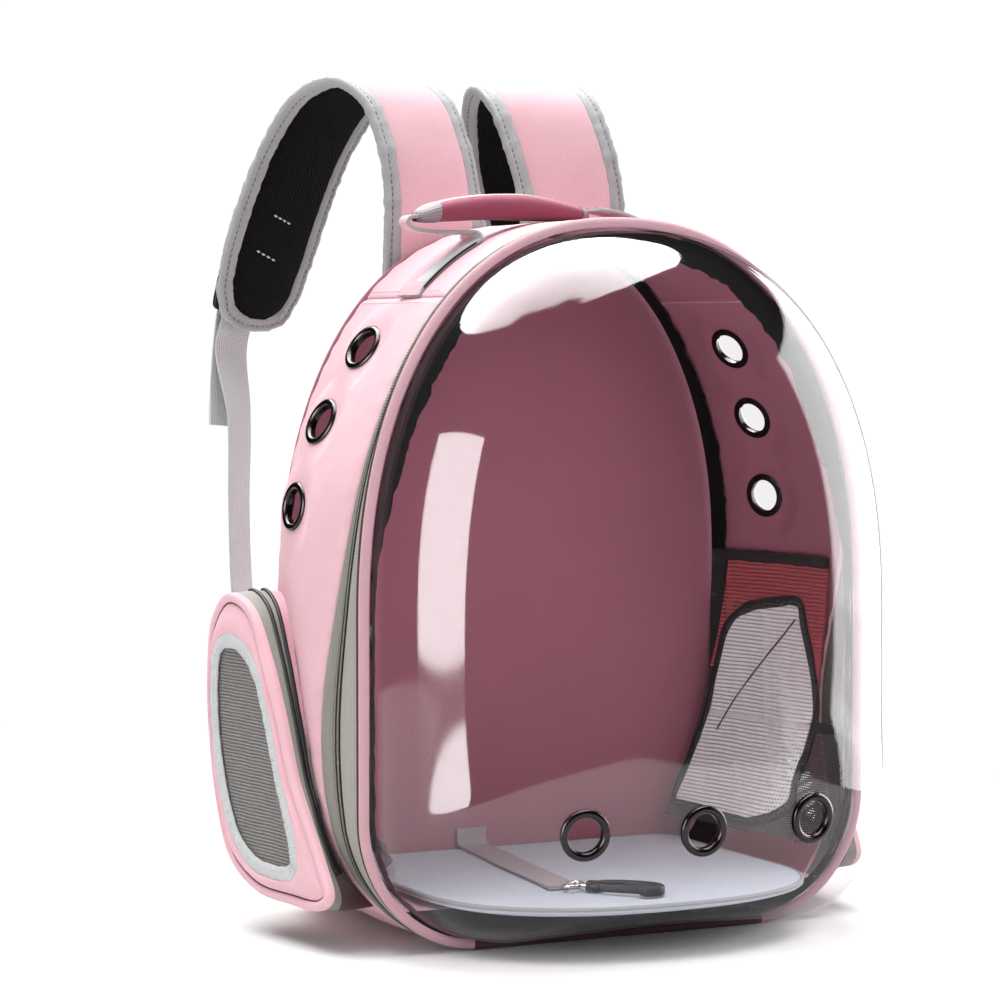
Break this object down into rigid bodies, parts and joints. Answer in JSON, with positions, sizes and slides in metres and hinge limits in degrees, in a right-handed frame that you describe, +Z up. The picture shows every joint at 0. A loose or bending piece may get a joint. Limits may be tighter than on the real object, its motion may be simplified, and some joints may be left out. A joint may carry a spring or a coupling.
{
  "type": "pet carrier backpack",
  "caption": "Arched pink cloth backpack for a small pet, with a clear bubble window, metal vent eyelets, zipped mesh side pockets, padded straps and a floor mat with a tether.",
  "frame": {"origin": "middle of the base's underside, where the carrier stands on the floor, below the middle of the cabin", "axes": "+Z up; -Y out of the bubble window; +X to the right of a person wearing it, which is also the right of the picture"},
  "size_m": [0.3934, 0.4039, 0.5123],
  "materials": {
    "pink_cloth": "plain woven polyester, matt",
    "grey_tape": "woven tape, matt",
    "zip_coil": "nylon coil, satin",
    "light_webbing": "ribbed webbing, matt",
    "black_tape": "woven tape, matt",
    "black_net": "open knitted net",
    "grey_net": "fine woven mesh",
    "clear_bubble": "clear moulded sheet, slightly smoky, glossy",
    "eyelet_metal": "dark polished nickel",
    "swivel_metal": "bright plated wire",
    "black_plastic": "moulded plastic, satin",
    "pale_mat": "pale quilted mat, matt"
  },
  "bodies": {
    "carrier": {"back_panel": "pink_cloth", "base_panel": "pink_cloth", "top_panel": "pink_cloth", "side_panel_left": "pink_cloth", "side_panel_right": "pink_cloth", "side_mesh_left": "black_net", "side_mesh_right": "black_net", "zip_tape_front": "grey_tape", "zip_coil": "zip_coil", "zip_tape_rear": "grey_tape", "frame_binding": "black_tape", "back_binding": "black_tape", "dome_piping": "pink_cloth", "bubble_dome": "clear_bubble", "grommet_left_1": "eyelet_metal", "grommet_left_2": "eyelet_metal", "grommet_left_3": "eyelet_metal", "grommet_right_1": "eyelet_metal", "grommet_right_2": "eyelet_metal", "grommet_right_3": "eyelet_metal", "grommet_dome_1": "eyelet_metal", "grommet_dome_2": "eyelet_metal", "grommet_dome_3": "eyelet_metal", "floor_mat": "pale_mat", "tether_strap": "light_webbing", "hook_swivel": "swivel_metal", "snap_hook": "black_plastic", "pocket_face_left": "pink_cloth", "pocket_face_right": "pink_cloth", "pocket_gusset_left": "grey_tape", "pocket_gusset_right": "grey_tape", "pocket_zip_left": "black_tape", "pocket_zip_right": "black_tape", "window_binding_left": "light_webbing", "window_binding_right": "light_webbing", "window_mesh_left": "grey_net", "window_mesh_right": "grey_net", "strap_pad_left": "pink_cloth", "strap_pad_right": "pink_cloth", "strap_binding_left": "light_webbing", "strap_binding_right": "light_webbing", "strap_webbing_left": "light_webbing", "strap_webbing_right": "light_webbing", "strap_buckle_left": "black_plastic", "strap_buckle_right": "black_plastic", "handle_grip": "pink_cloth", "handle_tab_left": "pink_cloth", "handle_tab_right": "pink_cloth"},
    "gate": {"hook_gate": "black_plastic"}
  },
  "joints": [
    {"name": "gate_hinge", "type": "hinge", "parent": "carrier", "child": "gate", "pos_m": [-0.02788, -0.10959, 0.0353], "axis": [0, 0, 1], "range_deg": [0, 13], "stiffness_Nm_per_rad": 0.02, "springref_deg": -14.32}
  ]
}
